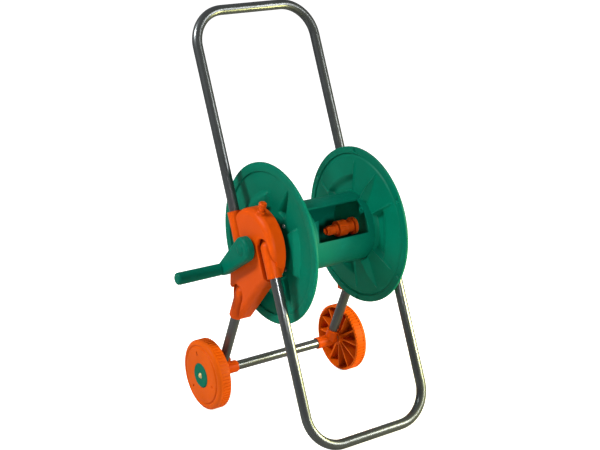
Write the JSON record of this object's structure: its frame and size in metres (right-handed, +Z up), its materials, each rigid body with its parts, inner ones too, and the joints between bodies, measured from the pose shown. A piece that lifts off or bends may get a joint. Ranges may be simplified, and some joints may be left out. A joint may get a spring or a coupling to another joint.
{
  "type": "garden hose reel cart",
  "caption": "Two-wheeled garden hose cart: bent steel tube frame, moulded side brackets and a crank-driven reel with dished flanges and a windowed drum.",
  "frame": {"origin": "on the ground under the middle of the whole cart's box", "axes": "+X along the reel axis away from the crank, -Y towards the foot bar (front), +Z up"},
  "size_m": [0.4364, 0.3882, 0.7645],
  "materials": {
    "tube_steel": "smooth grey plated tube",
    "plated_steel": "zinc plated",
    "yellow_plate": "yellow passivated",
    "green_plastic": "moulded, semi-gloss",
    "orange_plastic": "moulded, semi-gloss",
    "seal_rubber": "matt"
  },
  "bodies": {
    "frame": {"handle_tube": "tube_steel", "foot_tube": "tube_steel", "leg_tube_left": "tube_steel", "leg_tube_right": "tube_steel", "axle_tube": "tube_steel", "axle_rod": "plated_steel", "axle_joint_left": "orange_plastic", "axle_joint_right": "orange_plastic", "bracket_left": "orange_plastic", "bracket_right": "orange_plastic", "bracket_cover_left": "orange_plastic", "bracket_cover_right": "orange_plastic", "cover_screws_left": "plated_steel", "cover_screws_right": "plated_steel", "tube_screws_left": "plated_steel", "tube_screws_right": "plated_steel", "parking_spigot": "orange_plastic", "water_inlet": "orange_plastic", "inlet_nut": "orange_plastic", "inlet_seals": "seal_rubber", "wheel_washer_left": "plated_steel", "wheel_washer_right": "plated_steel", "push_nut_left": "yellow_plate", "push_nut_right": "yellow_plate"},
    "reel": {"drum_core": "green_plastic", "flange_left": "green_plastic", "flange_right": "green_plastic", "flange_screws_left": "plated_steel", "flange_screws_right": "plated_steel", "drum_connector": "orange_plastic", "connector_nut": "orange_plastic", "crank_arm": "green_plastic", "crank_screw": "plated_steel", "grip_pin": "plated_steel"},
    "grip": {"crank_grip": "green_plastic"},
    "wheel_left_body": {"wheel_left": "orange_plastic", "wheel_cap_left": "green_plastic"},
    "wheel_right_body": {"wheel_right": "orange_plastic", "wheel_cap_right": "green_plastic"}
  },
  "joints": [
    {"name": "reel_spin", "type": "hinge", "parent": "frame", "child": "reel", "pos_m": [0.0374, -0.01607, 0.3512], "axis": [1, 0, 0], "continuous": true},
    {"name": "grip_spin", "type": "hinge", "parent": "reel", "child": "grip", "pos_m": [-0.1626, 0.05618, 0.29754], "axis": [1, 0, 0], "continuous": true},
    {"name": "wheel_left_spin", "type": "hinge", "parent": "frame", "child": "wheel_left_body", "pos_m": [-0.1256, 0.12512, 0.069], "axis": [1, 0, 0], "continuous": true},
    {"name": "wheel_right_spin", "type": "hinge", "parent": "frame", "child": "wheel_right_body", "pos_m": [0.2004, 0.12512, 0.069], "axis": [1, 0, 0], "continuous": true}
  ]
}
